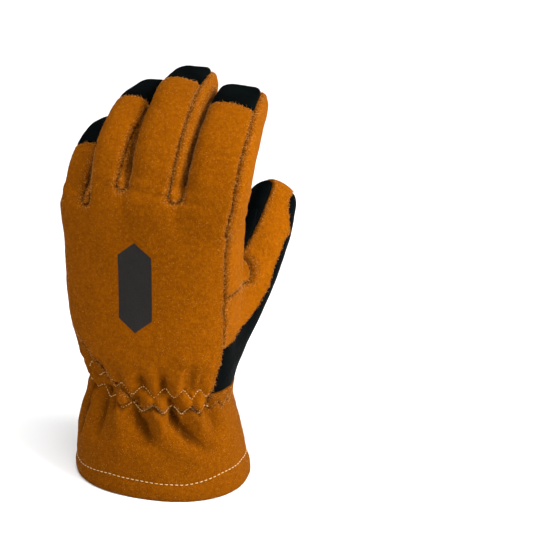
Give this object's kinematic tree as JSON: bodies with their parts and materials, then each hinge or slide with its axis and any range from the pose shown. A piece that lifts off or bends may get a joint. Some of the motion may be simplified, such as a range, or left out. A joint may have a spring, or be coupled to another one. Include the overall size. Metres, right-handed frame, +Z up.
{
  "type": "structural firefighting glove",
  "caption": "Left-hand firefighter's glove in orange suede and black leather, with curved fingers and a gathered cuff, standing on its hem",
  "frame": {"origin": "Middle of the glove's box in X and Y, at the lower edge of the cuff's hem", "axes": "+Z up from the hem to the fingertips, +X to the thumb side, +Y to the palm side"},
  "size_m": [0.133, 0.1356, 0.2685],
  "materials": {
    "orange_suede": "split leather with a short fuzzy nap",
    "black_leather": "grain leather, slightly glossy"
  },
  "bodies": {
    "root": {"fourchette_index_middle": "orange_suede", "fourchette_middle_ring": "orange_suede", "fourchette_ring_little": "orange_suede", "index_side_panel": "orange_suede", "little_side_panel": "orange_suede", "cuff_back": "orange_suede", "cuff_palm": "orange_suede", "thumb_panel": "orange_suede", "back_panel": "orange_suede", "palm_panel": "black_leather", "palm_patch": "black_leather"}
  },
  "joints": []
}
